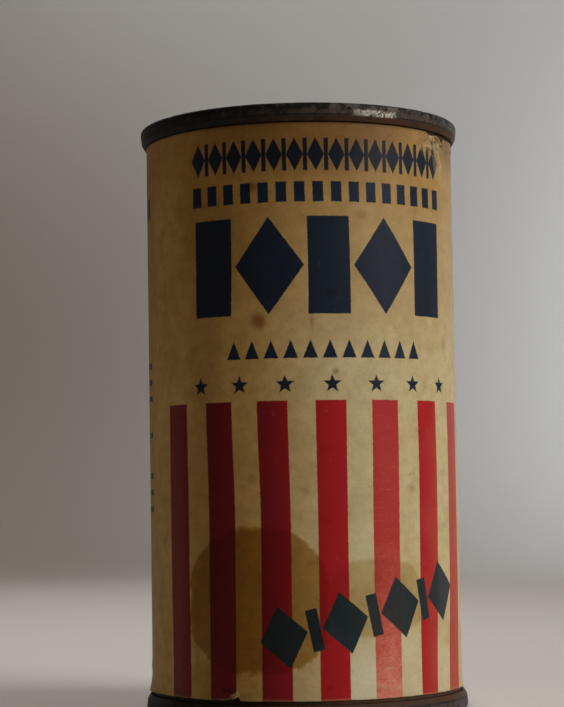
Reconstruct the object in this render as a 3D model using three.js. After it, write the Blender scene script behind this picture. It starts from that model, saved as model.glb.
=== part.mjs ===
// An eight-ounce milk powder tin with a paper label, shut at both ends by a rolled seam.
// Millimetres, +Z up. The origin is the middle of the foot, and the label's front faces -Y.
// Angles go round the tin in degrees from the middle of the front, positive towards +X.

import * as THREE from 'three';

// Driving sizes
const HEIGHT = 123.8;
const SEAM_DIAMETER = 68.3;
const WALL_DIAMETER = 65.2;
const LABEL_DIAMETER = 65.72;
const LABEL_FOOT = 4.42;
const LABEL_TOP = 119.95;
const PAPER = 0.2;

// Fineness of the round forms
const TURN_STEPS = 72;
const LABEL_STEPS = 144;

// The rolled seam, as heights below its crest and widths in from its widest line
const SEAM_HEIGHT = 3.65;
const CREST_RADIUS = 0.7;
const CREST_LAND = 0.42;
const INNER_CREST_RADIUS = 0.45;
const SEAM_SHOULDER = 1.1;
const SEAM_TAPER = 0.2;
const SEAM_FOLD_DEPTH = 2.7;
const SEAM_LIP_RADIUS = 0.28;
const SEAM_LIP_INSET = 1.0;

// The pressed end inside the seam, as depths below the crest
const CHUCK_TAPER = 0.3;
const CHANNEL_DEPTH = 3.25;
const CHANNEL_RADIUS = 0.5;
const PANEL_DEPTH = 2.6;
const BEAD_RADII = [25.6, 20.4];
const BEAD_WIDTH = 1.6;
const BEAD_RISE = 0.45;

// Clearance between pieces that are pressed together on the real tin
const GAP = 0.05;

// The paper: where its ends lap, and where its edges are worn and torn
const LAP_MIDDLE = 98;
const LAP_WIDTH = 11;
const LAP_RISE = 0.16;
const EDGE_WEAR = [
  { edge: 'top', middle: 49, halfWidth: 6.5, depth: 0.55 },
  { edge: 'top', middle: 54.4, halfWidth: 1.9, depth: 1.0 },
  { edge: 'foot', middle: -36, halfWidth: 3.2, depth: 0.8 },
];

const seamRadius = SEAM_DIAMETER / 2;
const wallRadius = WALL_DIAMETER / 2;

// Adds the points of an arc to a profile: angles in degrees, 0 outwards and 90 towards the crest
function addArc(points, radius, depth, bend, from, to, steps) {
  for (let i = 0; i <= steps; i += 1) {
    const angle = THREE.MathUtils.degToRad(from + ((to - from) * i) / steps);
    points.push([radius + bend * Math.cos(angle), depth - bend * Math.sin(angle)]);
  }
}

// Half of the end's section, from the middle of its underside round the seam to the middle of its panel
function endSection() {
  const points = [[0, SEAM_HEIGHT]];
  const lipRadius = seamRadius - SEAM_LIP_INSET;
  addArc(points, lipRadius, SEAM_HEIGHT - SEAM_LIP_RADIUS, SEAM_LIP_RADIUS, -90, -35, 2);
  points.push([seamRadius - SEAM_TAPER, SEAM_FOLD_DEPTH]);
  points.push([seamRadius, SEAM_SHOULDER]);
  const crestOuter = seamRadius - CREST_RADIUS;
  addArc(points, crestOuter, CREST_RADIUS, CREST_RADIUS, 0, 90, 4);
  const crestInner = crestOuter - CREST_LAND;
  addArc(points, crestInner, INNER_CREST_RADIUS, INNER_CREST_RADIUS, 90, 180, 3);
  const chuckRadius = crestInner - INNER_CREST_RADIUS - CHUCK_TAPER;
  const channelMiddle = chuckRadius - CHANNEL_RADIUS;
  addArc(points, channelMiddle, CHANNEL_DEPTH - CHANNEL_RADIUS, CHANNEL_RADIUS, 0, -180, 4);
  points.push([channelMiddle - 1.4 * CHANNEL_RADIUS, PANEL_DEPTH]);
  for (const beadRadius of BEAD_RADII) {
    points.push([beadRadius + BEAD_WIDTH / 2, PANEL_DEPTH]);
    points.push([beadRadius + BEAD_WIDTH / 5, PANEL_DEPTH - BEAD_RISE]);
    points.push([beadRadius - BEAD_WIDTH / 5, PANEL_DEPTH - BEAD_RISE]);
    points.push([beadRadius - BEAD_WIDTH / 2, PANEL_DEPTH]);
  }
  points.push([0, PANEL_DEPTH]);
  return points;
}

// Turns a section of [radius, height] points round the tin's axis
function turned(section) {
  const profile = section.map(([radius, height]) => new THREE.Vector2(radius, height));
  const geometry = new THREE.LatheGeometry(profile, TURN_STEPS);
  geometry.rotateX(Math.PI / 2);
  return geometry;
}

// The tin itself: a full cylinder from the foot of one seam to the foot of the other
function wallSection() {
  const foot = SEAM_HEIGHT + GAP;
  const top = HEIGHT - foot;
  return [[0, foot], [wallRadius, foot], [wallRadius, top], [0, top]];
}

// How far an edge of the paper is worn back at an angle
function wear(edge, angle) {
  const depths = EDGE_WEAR.filter((place) => place.edge === edge).map((place) => {
    const share = Math.abs(angle - place.middle) / place.halfWidth;
    return share < 1 ? place.depth * (1 - share * share) : 0;
  });
  return Math.max(...depths);
}

// How far the paper's outside stands up where one end laps over the other:
// a step at the free end, then a gentle fall to the single thickness
function lap(angle) {
  const past = angle - (LAP_MIDDLE - LAP_WIDTH / 2);
  if (past < 0 || past > LAP_WIDTH) return 0;
  return LAP_RISE * Math.min(1, (1.5 * (LAP_WIDTH - past)) / LAP_WIDTH);
}

// The label: a thin sheet wrapped round the wall, with four corners to each section
function labelGeometry() {
  const outside = LABEL_DIAMETER / 2;
  const inside = outside - PAPER;
  const corners = [];
  for (let i = 0; i < LABEL_STEPS; i += 1) {
    const angle = (360 * i) / LABEL_STEPS - 180;
    const turn = THREE.MathUtils.degToRad(angle);
    const foot = LABEL_FOOT + wear('foot', angle);
    const top = LABEL_TOP - wear('top', angle);
    const outer = outside + lap(angle);
    for (const [radius, height] of [[inside, foot], [outer, foot], [outer, top], [inside, top]]) {
      corners.push(radius * Math.sin(turn), -radius * Math.cos(turn), height);
    }
  }
  const faces = [];
  for (let i = 0; i < LABEL_STEPS; i += 1) {
    const here = 4 * i;
    const next = 4 * ((i + 1) % LABEL_STEPS);
    for (let side = 0; side < 4; side += 1) {
      const other = (side + 1) % 4;
      faces.push(here + side, next + side, next + other);
      faces.push(here + side, next + other, here + other);
    }
  }
  const geometry = new THREE.BufferGeometry();
  geometry.setAttribute('position', new THREE.Float32BufferAttribute(corners, 3));
  geometry.setIndex(faces);
  geometry.computeVertexNormals();
  return geometry;
}

const tinplate = new THREE.MeshStandardMaterial({ color: 0x6b5d50, roughness: 0.5, metalness: 0.9 });
const rustedSeam = new THREE.MeshStandardMaterial({ color: 0x3d2f28, roughness: 0.6, metalness: 0.6 });
const agedPaper = new THREE.MeshStandardMaterial({ color: 0xc2a871, roughness: 0.6, metalness: 0 });

function piece(name, geometry, material) {
  const mesh = new THREE.Mesh(geometry, material);
  mesh.name = name;
  return mesh;
}

const tin = new THREE.Group();
tin.add(piece('tin_body', turned(wallSection()), tinplate));

const section = endSection();
const topSection = section.map(([radius, depth]) => [radius, HEIGHT - depth]);
tin.add(piece('top_end', turned(topSection), rustedSeam));
tin.add(piece('bottom_end', turned([...section].reverse()), rustedSeam));

tin.add(piece('paper_label', labelGeometry(), agedPaper));

export default tin;
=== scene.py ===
"""A shut eight-ounce milk powder tin: rolled steel ends and an aged paper label, dressed over its solids.

Metres in the scene, millimetres in the label's own measures. +Z is up the tin, and the middle of
the label's front faces -Y. Angles go round the tin from there, positive towards +X.
"""

import math
from collections import namedtuple

import bpy
import numpy as np
from bpy.props import FloatProperty, FloatVectorProperty, IntProperty, PointerProperty
from mathutils import Matrix, Vector, noise


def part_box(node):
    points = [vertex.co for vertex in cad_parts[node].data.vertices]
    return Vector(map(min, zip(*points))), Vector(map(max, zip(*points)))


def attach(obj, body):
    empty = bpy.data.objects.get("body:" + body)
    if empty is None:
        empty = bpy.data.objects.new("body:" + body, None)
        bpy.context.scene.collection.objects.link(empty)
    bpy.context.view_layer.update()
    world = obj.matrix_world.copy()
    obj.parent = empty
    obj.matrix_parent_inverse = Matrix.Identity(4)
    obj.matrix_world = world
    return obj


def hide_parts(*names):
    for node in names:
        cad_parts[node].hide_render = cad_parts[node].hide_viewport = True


bl_info = {
    "name": "Milk Powder Tin",
    "version": (1, 0, 0),
    "blender": (4, 5, 0),
    "location": "View3D > Sidebar > Tin",
    "description": "Builds a shut milk powder tin with rolled seams and an aged paper label",
    "category": "Add Mesh",
}

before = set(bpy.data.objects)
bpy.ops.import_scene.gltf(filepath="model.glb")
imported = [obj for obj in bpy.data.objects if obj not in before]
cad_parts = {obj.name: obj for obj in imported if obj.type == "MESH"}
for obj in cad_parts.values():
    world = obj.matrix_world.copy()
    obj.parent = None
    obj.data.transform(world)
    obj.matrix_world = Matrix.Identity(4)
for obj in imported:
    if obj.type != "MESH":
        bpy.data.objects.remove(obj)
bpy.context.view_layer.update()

MM = 0.001
LABEL_LOW, LABEL_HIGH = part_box("paper_label")
SEAM_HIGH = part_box("top_end")[1]
LABEL_RADIUS_MM = -LABEL_LOW.y / MM
LABEL_FOOT_MM = LABEL_LOW.z / MM
LABEL_HEIGHT_MM = (LABEL_HIGH.z - LABEL_LOW.z) / MM


def linear(hex_colour):
    """An sRGB hex value as the linear red, green and blue that shaders take."""
    channels = [int(hex_colour[i : i + 2], 16) / 255 for i in (1, 3, 5)]
    return [c / 12.92 if c <= 0.04045 else ((c + 0.055) / 1.055) ** 2.4 for c in channels]


def length(name, millimetres, description):
    """A size in metres, given in millimetres."""
    return FloatProperty(
        name=name, description=description, default=millimetres * MM, unit="LENGTH", precision=5
    )


def angle(name, degrees, description):
    """An angle in radians, given in degrees."""
    return FloatProperty(
        name=name, description=description, default=math.radians(degrees), subtype="ANGLE"
    )


def colour(name, hex_colour, description):
    """A colour, given as an sRGB hex value."""
    return FloatVectorProperty(
        name=name,
        description=description,
        default=linear(hex_colour),
        size=3,
        min=0.0,
        max=1.0,
        subtype="COLOR",
    )


class TinEndSizes(bpy.types.PropertyGroup):
    """The rolled seam and the pressed end inside it, as widths and as depths below the crest."""

    seam_radius: length("Seam radius", SEAM_HIGH.x / MM, "Half the width across the seam")
    seam_height: length("Seam height", 3.65, "From the crest to the foot of the folded seam")
    crest_bend: length("Crest bend", 0.7, "Outer bend of the seam's crest")
    inner_crest_bend: length("Inner crest bend", 0.45, "Inner bend of the seam's crest")
    seam_thickness: length("Seam thickness", 1.57, "From the seam's widest line to its inner wall")
    shoulder: length("Shoulder", 1.1, "Depth to which the seam keeps its full width")
    taper: length("Taper", 0.2, "How much narrower the seam is where its fold turns in")
    fold_depth: length("Fold depth", 2.7, "Depth at which the folded steel turns in")
    lip_inset: length("Lip inset", 0.77, "How far in the folded steel's lip ends")
    chuck_taper: length("Inner wall taper", 0.3, "How much narrower the inner wall is at its foot")
    channel_depth: length("Channel depth", 3.25, "Depth of the channel round the panel")
    channel_bend: length("Channel bend", 0.5, "Bend of the channel's round foot")
    panel_depth: length("Panel depth", 2.6, "Depth of the flat panel")
    outer_bead: length("Outer bead", 25.6, "Radius of the outer pressed ring")
    inner_bead: length("Inner bead", 20.4, "Radius of the inner pressed ring")
    bead_width: length("Bead width", 1.6, "Width of a pressed ring")
    bead_rise: length("Bead rise", 0.45, "Height of a pressed ring")
    wobble: length("Wobble", 0.05, "How far the rolled steel wavers from a true circle")
    steps: IntProperty(name="Steps", description="Steps round an end", default=288, min=24)


class TinLabelSizes(bpy.types.PropertyGroup):
    """The paper and how it lies on the tin."""

    radius: length("Radius", LABEL_RADIUS_MM, "Half the width across the paper's outside")
    foot: length("Foot", LABEL_FOOT_MM, "Height of the paper's lower edge")
    top: length("Top", LABEL_HIGH.z / MM, "Height of the paper's upper edge")
    paper: length("Paper", 0.16, "Thickness of the paper and the paste under it")
    lap_edge: angle("Lap edge", 92.5, "Where the paper's free end lies")
    lap_width: angle("Lap width", 11.0, "How far one end lies over the other")
    lap_rise: length("Lap rise", 0.14, "How far the outer end stands up at the lap")
    slack: length("Slack", 0.1, "Height of the broad waves in the paper")
    edge_wear: length("Edge wear", 0.14, "How far the paper's edges are frayed back")


class TinLabelPrint(bpy.types.PropertyGroup):
    """The printed figures. Heights are above the paper's foot."""

    panel: length("Panel", 103.2, "Width in which the front is printed, twice round the tin")
    stripe_pitch: length("Stripe pitch", 11.65, "From one red stripe to the next")
    stripe_width: length("Stripe width", 6.15, "Width of a red stripe")
    stripe_top: length("Stripe top", 59.5, "Height of the stripes' upper ends")
    star_pitch: length("Star pitch", 9.32, "From one star to the next")
    star_radius: length("Star radius", 1.94, "From a star's middle to its points")
    star_tip: angle("Star tip", 21.0, "Half the angle of a star's points")
    star_height: length("Star height", 62.75, "Height of the stars' middles")
    star_shift: length("Star shift", 0.33, "How far right of the stripes' middle the stars stand")
    bleed: length("Bleed", 0.09, "How far the ink's edge wanders and softens")


class TinColours(bpy.types.PropertyGroup):
    """The colours of paper, inks, stains and steel, with lit and shaded copies, painted glare and painted
    shade among them.
    """

    # The paper is the shaded copy and the next colour the lit copy of one paper: painted light.
    paper: colour("Paper", "#c1a05f", "Yellowed coated paper")
    lit_side_paper: colour("Sunned paper", "#c7b68a", "Paper on the side that the sun reached")
    # Paper painted pale with glare near its foot.
    glared_paper: colour("Washed paper", "#d6d2b4", "Paper washed pale near its foot")
    paper_warm: colour("Warm paper", "#a67e3f", "Paper where age has browned it most")
    fibre: colour("Fibre", "#c5b58e", "Paper whose coating is rubbed or torn off")
    # The red is the shaded copy and the next colour the lit copy of one ink: painted light.
    red: colour("Red", "#6a171c", "Ink of the stripes")
    lit_side_red: colour("Sunned red", "#a61a1d", "That ink on the side that the sun reached")
    # Ink painted pale with glare on one scuffed stripe.
    scuff_and_glare_red: colour("Scuffed red", "#dd6b5c", "That ink where it is scuffed pale")
    navy: colour("Navy", "#19222f", "Ink of the upper figures and stars")
    green: colour("Blue green", "#212e33", "Ink of the slanting figures")
    stain: colour("Stain", "#b4945b", "What the spilt liquid's stain lets through")
    foxing: colour("Foxing", "#a47a4c", "What a brown age spot lets through")
    olive: colour("Olive", "#b9b389", "What a greenish blotch of age lets through")
    # This colour lays painted shade in creases and along edges, and real fine flecks of dirt.
    shade_and_grime: colour("Grime", "#6b4c30", "What dirt in the creases and edges lets through")
    # This colour lays painted shade under the seams and at the label's sides.
    painted_shade: colour("Handled", "#bfb5ab", "What the grime of hands lets through")
    # Bare tin is shown only where the key light glints on the upper seam: partly worn tin, partly a
    # painted glint.
    bare_tin: colour("Bare tin", "#9a9388", "Worn bright tinplate")
    dull_tin: colour("Dull tin", "#4d453e", "Tinplate gone dull with age")
    rust: colour("Rust", "#2c231b", "Brown rust")
    # Lighter rust on the side that faces the key light: painted light.
    lit_side_rust: colour("Dry rust", "#453a32", "Rust on the drier, lighter side")
    dark_rust: colour("Dark rust", "#13100b", "Old black-brown rust")
    # Red rust shows in the fold only on the side that faces the key light: partly painted light.
    red_rust: colour("Red rust", "#452c19", "Red rust in the seam's fold")
    floor: colour("Floor", "#d3d1cd", "Floor and backdrop")


def new_material(name):
    """A node material with its tree and its Principled shader."""
    material = bpy.data.materials.new(name)
    material.use_nodes = True
    tree = material.node_tree
    return material, tree, tree.nodes["Principled BSDF"]


def fill(tree, node, inputs):
    """Sets a node's inputs to numbers, vectors or opaque colours, or links them from nodes or sockets."""
    pairs = inputs.items() if isinstance(inputs, dict) else enumerate(inputs)
    for key, value in pairs:
        if isinstance(value, bpy.types.Node):
            value = next(output for output in value.outputs if output.enabled)
        if isinstance(value, bpy.types.NodeSocket):
            tree.links.new(value, node.inputs[key])
        elif node.inputs[key].type == "RGBA":
            node.inputs[key].default_value = (*value, 1.0)
        else:
            node.inputs[key].default_value = value


def add(tree, kind, inputs=(), operation=None, **settings):
    """Adds a node with its operation, where it has one, and its settings, and fills its inputs."""
    node = tree.nodes.new("ShaderNode" + kind)
    if operation:
        node.operation = operation
    for name, value in settings.items():
        setattr(node, name, value)
    fill(tree, node, inputs)
    return node


# Settings that many nodes share, and the sockets of a colour mix
SMOOTH = {"interpolation_type": "SMOOTHSTEP"}
BLEND = {"data_type": "RGBA"}
TINT = {"data_type": "RGBA", "blend_type": "MULTIPLY"}
SHARE, UNDER, OVER = 0, 6, 7

# The direction of the key light. Paper, ink and rust are painted lighter on the side that faces it.
LIT_SIDE_DIRECTION = math.radians(60.0)


# Noises over the paper and the steel, from broad to fine, as (size in millimetres, detail, roughness)
PAPER_NOISES = {
    "slip": (34.0, 0.0, 0.5),
    "broad": (26.0, 3.0, 0.55),
    "cloudy": (7.0, 4.0, 0.6),
    "shore": (5.0, 6.0, 0.62),
    "freckle": (5.0, 5.0, 0.7),
    "blotch": (3.1, 4.0, 0.6),
    "small_blotch": (2.3, 4.0, 0.6),
    "mottle": (1.6, 3.0, 0.6),
    "ragged": (0.5, 1.0, 0.5),
    "grain": (0.35, 2.0, 0.6),
}
STEEL_NOISES = {"bloom": (5.5, 4.0, 0.62), "patchy": (1.5, 4.0, 0.6), "pit": (0.42, 2.0, 0.6)}


def tin_places(tree, noises):
    """A point's place in millimetres, its parts, its angle round the tin, and the noises there by name."""
    place = add(tree, "TexCoord").outputs["Object"]
    place = add(tree, "VectorMath", {"Vector": place, "Scale": 1 / MM}, "SCALE")
    parts = add(tree, "SeparateXYZ", [place]).outputs
    away = add(tree, "Math", [parts["Y"], -1.0], "MULTIPLY")
    turn = add(tree, "Math", [parts["X"], away], "ARCTAN2")
    textures = {}
    for name, (size, detail, rough) in noises.items():
        inputs = {"Vector": place, "Scale": 1 / size, "Detail": detail, "Roughness": rough}
        textures[name] = add(tree, "TexNoise", inputs)
    return place, parts, turn, textures


Spot = namedtuple("Spot", ["place", "turn", "round_tin", "up", "wander", *PAPER_NOISES])


def label_spot(tree, sizes):
    """Where a point of the label lies, in millimetres round the tin and above the paper's foot, and the
    noises there. Wander is a noise with its middle at zero."""
    place, parts, turn, noises = tin_places(tree, PAPER_NOISES)
    round_tin = add(tree, "Math", [turn, sizes.radius / MM], "MULTIPLY")
    up = add(tree, "Math", [parts["Z"], sizes.foot / MM], "SUBTRACT")
    wander = add(tree, "Math", [noises["cloudy"], 0.5], "SUBTRACT")
    return Spot(place, turn, round_tin, up, wander, **noises)


# The label's print, as figures in millimetres round the tin and above the paper's foot


def block(tree, across, up, width, height):
    """How far inside an upright block a point lies."""
    across = add(tree, "Math", [across], "ABSOLUTE")
    up = add(tree, "Math", [up], "ABSOLUTE")
    side = add(tree, "Math", [width / 2, across], "SUBTRACT")
    end = add(tree, "Math", [height / 2, up], "SUBTRACT")
    return add(tree, "Math", [side, end], "MINIMUM")


def lozenge(tree, across, up, width, height):
    """How far inside an upright lozenge a point lies."""
    across = add(tree, "Math", [across], "ABSOLUTE")
    up = add(tree, "Math", [up], "ABSOLUTE")
    side = add(tree, "Math", [across, 2 / width], "MULTIPLY")
    reach = add(tree, "Math", [up, 2 / height, side], "MULTIPLY_ADD")
    inside = add(tree, "Math", [1.0, reach], "SUBTRACT")
    slope = width * height / (2 * math.hypot(width, height))
    return add(tree, "Math", [inside, slope], "MULTIPLY")


def wedge(tree, across, up, width, height):
    """How far inside an upright triangle, with its point up, a point lies."""
    across = add(tree, "Math", [across], "ABSOLUTE")
    half = add(tree, "Math", [up, -width / (2 * height), width / 4], "MULTIPLY_ADD")
    side = add(tree, "Math", [half, across], "SUBTRACT")
    foot = add(tree, "Math", [up, height / 2], "ADD")
    return add(tree, "Math", [side, foot], "MINIMUM")


def star(tree, across, up, radius, tip):
    """How far inside an upright five-pointed star a point lies. Tip is half the angle of its points."""
    fifth = math.radians(72)
    turn = add(tree, "Math", [across, up], "ARCTAN2")
    fold = add(tree, "Math", [turn, fifth / 2, -fifth / 2], "WRAP")
    fold = add(tree, "Math", [fold], "ABSOLUTE")
    lean = add(tree, "Math", [fold, tip], "ADD")
    lean = add(tree, "Math", [lean], "SINE")
    square = add(tree, "Math", [up, up], "MULTIPLY")
    square = add(tree, "Math", [across, across, square], "MULTIPLY_ADD")
    away = add(tree, "Math", [square], "SQRT")
    reach = add(tree, "Math", [away, lean], "MULTIPLY")
    return add(tree, "Math", [radius * math.sin(tip), reach], "SUBTRACT")


Row = namedtuple("Row", "height pitch count figure size")
UPPER_ROWS = [
    Row(109.0, 4.26, 14, lozenge, (3.5, 6.8)),
    Row(109.0, 4.26, 13, block, (0.9, 6.6)),
    Row(101.45, 3.75, 16, block, (2.2, 4.1)),
    Row(86.65, 24.4, 3, block, (8.6, 19.7)),
    Row(86.65, 24.4, 2, lozenge, (14.2, 19.7)),
    Row(69.8, 3.9, 11, wedge, (3.0, 3.7)),
]
SLANTING_ROWS = [Row(0.0, 12.8, 4, lozenge, (9.8, 12.6)), Row(0.0, 12.8, 3, block, (2.4, 8.4))]
SLANTING_MIDDLE = (8.5, 16.6)
SLANT = math.radians(12)
# Short bars at the left side
SIDE_MIDDLE = -54.8
SIDE_HEIGHTS = (38.2, 41.7, 45.2, 53.7, 61.4, 64.9, 68.4)
SIDE_ROWS = [Row(height, 3.5, 4, block, (2.8, 1.2)) for height in SIDE_HEIGHTS]
SIDE_ROWS.append(Row(101.9, 3.5, 4, block, (2.4, 4.3)))
FAR_OUTSIDE = -1000.0


def figures(tree, across, up, rows):
    """How far inside any figure of several rows a point lies."""
    whole = FAR_OUTSIDE
    for row in rows:
        over = add(tree, "Math", [up, row.height], "SUBTRACT")
        shift = 0.0 if row.count % 2 else row.pitch / 2
        within = add(tree, "Math", [across, shift], "ADD")
        within = add(tree, "Math", [within, row.pitch / 2, -row.pitch / 2], "WRAP")
        ends = add(tree, "Math", [across], "ABSOLUTE")
        ends = add(tree, "Math", [row.count * row.pitch / 2, ends], "SUBTRACT")
        shape = row.figure(tree, within, over, *row.size)
        shape = add(tree, "Math", [shape, ends], "MINIMUM")
        whole = add(tree, "Math", [whole, shape], "MAXIMUM")
    return whole


def print_across(tree, spot, layout):
    """How far a spot is from the middle of the print. The print repeats on the back, runs slightly out of
    true and creeps with the paper at one corner."""
    half = layout.panel / MM / 2
    across = add(tree, "Math", [spot.round_tin, half, -half], "WRAP")
    most_slip, most_creep = 1.2, 1.3
    across = add(tree, "Math", [spot.slip, most_slip, across], "MULTIPLY_ADD")
    across = add(tree, "Math", [across, most_slip / 2], "SUBTRACT")
    low = add(tree, "MapRange", [spot.up, 26.0, 0.0], **SMOOTH)
    right = add(tree, "MapRange", [across, 19.0, 28.0], **SMOOTH)
    creep = add(tree, "Math", [low, right], "MULTIPLY")
    return add(tree, "Math", [creep, most_creep, across], "MULTIPLY_ADD")


def printed_shapes(tree, spot, layout):
    """How far inside the red, the navy and the blue-green print a spot lies."""
    across, up = print_across(tree, spot, layout), spot.up
    stripe_top = layout.stripe_top / MM
    below_foot = 10.0
    stripe_size = (layout.stripe_width / MM, stripe_top + below_foot)
    stripe_middle = (stripe_top - below_foot) / 2
    stripes = Row(stripe_middle, layout.stripe_pitch / MM, 7, block, stripe_size)
    star_size = (layout.star_radius / MM, layout.star_tip)
    stars = Row(layout.star_height / MM, layout.star_pitch / MM, 7, star, star_size)
    shifted = add(tree, "Math", [across, layout.star_shift / MM], "SUBTRACT")
    sideways = add(tree, "Math", [spot.round_tin, SIDE_MIDDLE], "SUBTRACT")
    navy = figures(tree, across, up, UPPER_ROWS)
    for middle, rows in ((shifted, [stars]), (sideways, SIDE_ROWS)):
        more = figures(tree, middle, up, rows)
        navy = add(tree, "Math", [navy, more], "MAXIMUM")
    right = add(tree, "Math", [across, SLANTING_MIDDLE[0]], "SUBTRACT")
    over = add(tree, "Math", [up, SLANTING_MIDDLE[1]], "SUBTRACT")
    along = add(tree, "Math", [right, math.cos(SLANT)], "MULTIPLY")
    along = add(tree, "Math", [over, math.sin(SLANT), along], "MULTIPLY_ADD")
    off = add(tree, "Math", [right, -math.sin(SLANT)], "MULTIPLY")
    off = add(tree, "Math", [over, math.cos(SLANT), off], "MULTIPLY_ADD")
    green = figures(tree, along, off, SLANTING_ROWS)
    return figures(tree, across, up, [stripes]), navy, green


# Stains, wear, painted shade, painted glare and painted sheen, in the same measures. A squareness of 2
# is an oval, and more is squarer.

Mark = namedtuple("Mark", "across height half_width half_height squareness waver softness strength")
SPILL = [
    Mark(-16.0, 19.5, 15.8, 14.8, 2.6, 0.32, 0.8, 0.69),
    Mark(-18.0, 19.5, 7.5, 15.2, 4.0, 0.32, 0.8, 0.94),
    Mark(9.5, 19.9, 11.4, 8.2, 2.8, 0.34, 0.8, 0.28),
    Mark(-23.0, 3.0, 11.0, 7.0, 2.0, 0.6, 4.0, 0.28),
]
BROWN_SPOTS = [
    Mark(-14.5, 75.6, 2.1, 2.3, 2.0, 1.2, 2.1, 0.75),
    Mark(-3.6, 75.2, 0.9, 2.9, 2.0, 0.9, 0.9, 0.5),
    Mark(1.1, 65.2, 1.1, 1.0, 2.0, 0.9, 0.9, 0.6),
    Mark(0.4, 81.0, 1.8, 1.4, 2.0, 0.8, 1.4, 0.45),
    Mark(31.0, 71.6, 2.4, 2.4, 2.0, 0.8, 2.2, 0.35),
    Mark(-16.2, 44.0, 1.6, 1.6, 2.0, 0.8, 1.5, 0.35),
    Mark(18.2, 41.6, 1.7, 1.5, 2.0, 1.0, 1.5, 0.3),
    Mark(-5.4, 41.4, 1.5, 1.5, 2.0, 0.8, 1.4, 0.3),
    Mark(-41.0, 31.5, 1.2, 1.6, 2.0, 0.8, 1.1, 0.4),
    Mark(-15.4, 102.6, 1.8, 1.8, 2.0, 0.8, 1.6, 0.7),
    Mark(36.5, 67.5, 0.9, 1.6, 2.0, 0.8, 0.8, 0.4),
    Mark(7.0, 96.9, 2.4, 1.5, 2.0, 0.8, 1.4, 0.3),
    Mark(-27.3, 40.0, 6.4, 62.0, 2.4, 0.5, 5.0, 0.32),
]
# Painted shade along the label's top under the upper seam, all round the tin, and in tall bands near both
# sides of the front.
PAINTED_SHADE_PLACES = [
    Mark(-3.0, 118.0, 32.0, 19.0, 2.4, 0.5, 13.0, 1.0),
    Mark(-24.0, 92.0, 13.0, 19.0, 2.0, 0.6, 10.0, 0.3),
    Mark(-53.0, 60.0, 9.0, 75.0, 2.4, 0.5, 7.0, 0.45),
    Mark(38.0, 118.0, 13.0, 13.0, 2.0, 0.6, 7.0, 1.0),
    Mark(28.0, 115.0, 13.0, 10.0, 2.0, 0.6, 8.0, 0.4),
    Mark(44.0, 62.0, 14.0, 66.0, 2.4, 0.4, 12.0, 0.36),
    Mark(85.0, 120.0, 30.0, 15.0, 2.0, 0.6, 10.0, 0.7),
    Mark(-85.0, 120.0, 30.0, 13.0, 2.0, 0.6, 9.0, 0.6),
]
LESS_BROWNED_PLACES = [Mark(-39.0, 98.0, 8.5, 18.0, 2.0, 0.4, 7.0, 0.5)]
# Painted glare: pale places near the foot, where light from the floor glints on the label.
GLARED_PLACES = [
    Mark(16.0, 0.0, 19.0, 17.0, 3.0, 0.5, 6.0, 0.2),
    Mark(5.6, 0.0, 6.5, 15.0, 3.0, 0.4, 4.0, 0.58),
    Mark(5.6, 30.0, 6.0, 12.0, 2.4, 0.5, 6.0, 0.25),
]
# Painted sheen: less ink near both sides of the front, where the view grazes the label and catches
# reflections.
GRAZING_SHEEN_PLACES = [
    Mark(-36.5, 20.0, 5.0, 60.0, 2.6, 0.4, 4.0, 0.08),
    Mark(34.0, 20.0, 15.0, 60.0, 2.6, 0.4, 9.0, 0.12),
]
# One stripe scratched and scuffed, and painted pale as the glare of the key light, strongest at its foot.
SCUFF_AND_GLARE_PLACES = [
    Mark(11.8, 20.0, 8.0, 60.0, 2.6, 0.4, 5.0, 0.024),
    Mark(11.8, 6.0, 8.0, 36.0, 2.6, 0.4, 7.0, 0.11),
    Mark(11.8, -12.0, 7.0, 40.0, 2.6, 0.4, 5.0, 0.2),
]


def marked(tree, spot, marks, wander):
    """How strongly any of several marks shows at a spot. Wander shifts their edges."""
    whole = 0.0
    for mark in marks:
        away = 0.0
        sides = ((spot.round_tin, mark.across, mark.half_width), (spot.up, mark.height, mark.half_height))
        for along, middle, half in sides:
            part = add(tree, "Math", [along, middle], "SUBTRACT")
            part = add(tree, "Math", [part, 1 / half], "MULTIPLY")
            part = add(tree, "Math", [part], "ABSOLUTE")
            part = add(tree, "Math", [part, mark.squareness], "POWER")
            away = add(tree, "Math", [part, away], "ADD")
        away = add(tree, "Math", [away, 1 / mark.squareness], "POWER")
        away = add(tree, "Math", [wander, mark.waver, away], "MULTIPLY_ADD")
        soft = mark.softness / min(mark.half_width, mark.half_height)
        shape = add(tree, "MapRange", [away, 1.0, 1.0 - soft, 0.0, mark.strength], **SMOOTH)
        whole = add(tree, "Math", [whole, shape], "MAXIMUM")
    return whole


def lit_and_shaded_paper_and_red(tree, spot, colours):
    """How far a spot faces the key light, and the paper and the red there: shaded and lit copies, the lit
    one paler and brighter. This is painted light.
    """
    lit = add(tree, "Math", [spot.turn, LIT_SIDE_DIRECTION], "SUBTRACT")
    lit = add(tree, "Math", [lit], "COSINE")
    lit = add(tree, "Math", [spot.wander, 0.25, lit], "MULTIPLY_ADD")
    # Paler paper and brighter red on the side that faces the key light: painted light.
    lit_side = add(tree, "MapRange", [lit, -0.05, 0.62], **SMOOTH)
    papers = {SHARE: lit_side, UNDER: colours.paper, OVER: colours.lit_side_paper}
    reds = {SHARE: lit_side, UNDER: colours.red, OVER: colours.lit_side_red}
    return lit_side, add(tree, "Mix", papers, **BLEND), add(tree, "Mix", reds, **BLEND)


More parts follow.
